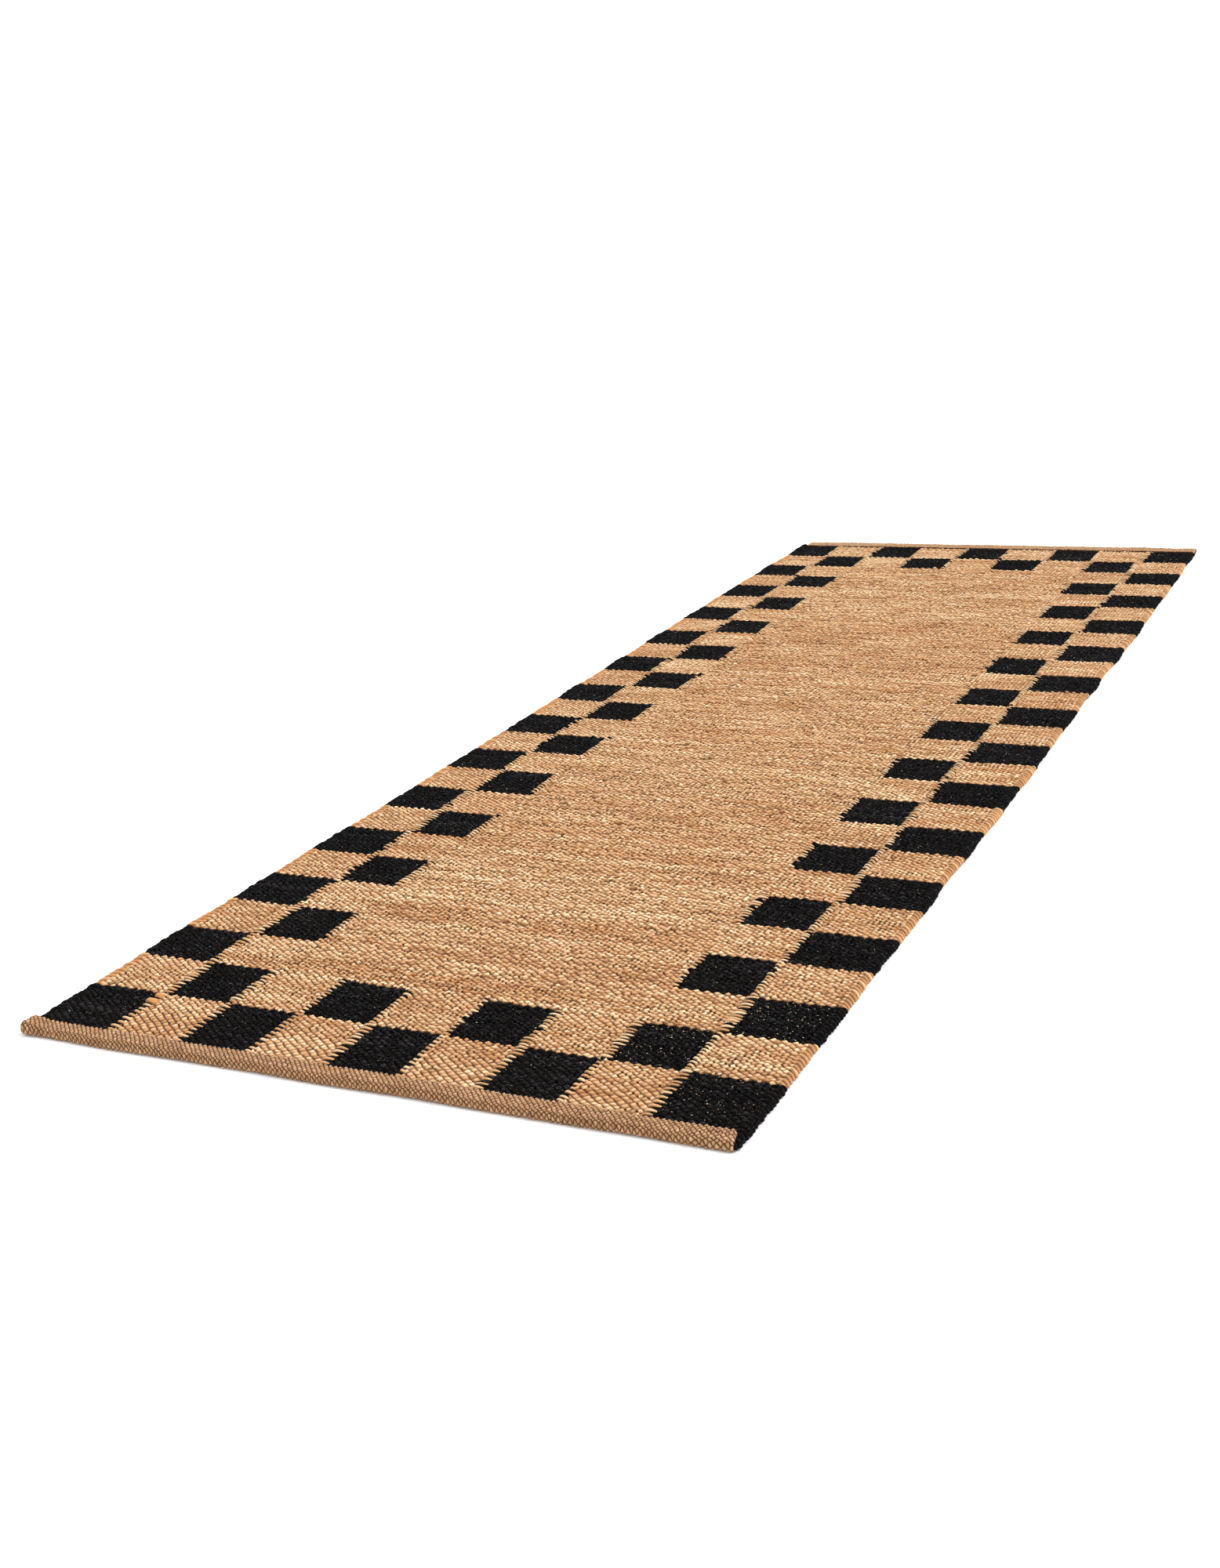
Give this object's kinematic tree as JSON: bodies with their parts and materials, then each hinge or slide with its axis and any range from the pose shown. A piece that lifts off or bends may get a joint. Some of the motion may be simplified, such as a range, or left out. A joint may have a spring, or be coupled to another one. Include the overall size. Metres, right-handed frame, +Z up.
{
  "type": "runner rug",
  "caption": "Flat-woven jute runner rug with a natural field, a black and natural checkerboard border, corded selvedges and folded twine hems",
  "frame": {"origin": "on the floor plane, under the middle of the rug as it lies flat", "axes": "+Y runs along the rug from its near hem to its far hem, +X across it to the right, +Z up through the pile-free weave; the top face is +Z"},
  "size_m": [0.7, 2, 0.009],
  "materials": {
    "natural_jute": "matte",
    "black_jute": "matte",
    "jute_twine": "matte",
    "warp_cord": "matte",
    "sewing_thread": "matte"
  },
  "bodies": {
    "root": {"black_checks_far_edge": "black_jute", "black_checks_far_inner": "black_jute", "black_checks_left_edge": "black_jute", "black_checks_left_inner": "black_jute", "black_checks_near_edge": "black_jute", "black_checks_near_inner": "black_jute", "black_checks_right_edge": "black_jute", "black_checks_right_inner": "black_jute", "far_hem_band": "jute_twine", "far_hem_thread": "sewing_thread", "left_selvedge_core": "warp_cord", "left_selvedge_wrap_black": "black_jute", "left_selvedge_wrap_natural": "natural_jute", "natural_checks_far_edge": "natural_jute", "natural_checks_far_inner": "natural_jute", "natural_checks_left_edge": "natural_jute", "natural_checks_left_inner": "natural_jute", "natural_checks_near_edge": "natural_jute", "natural_checks_near_inner": "natural_jute", "natural_checks_right_edge": "natural_jute", "natural_checks_right_inner": "natural_jute", "near_hem_band": "jute_twine", "near_hem_thread": "sewing_thread", "plain_field": "natural_jute", "right_selvedge_core": "warp_cord", "right_selvedge_wrap_black": "black_jute", "right_selvedge_wrap_natural": "natural_jute", "warp_cords": "warp_cord"}
  },
  "joints": []
}
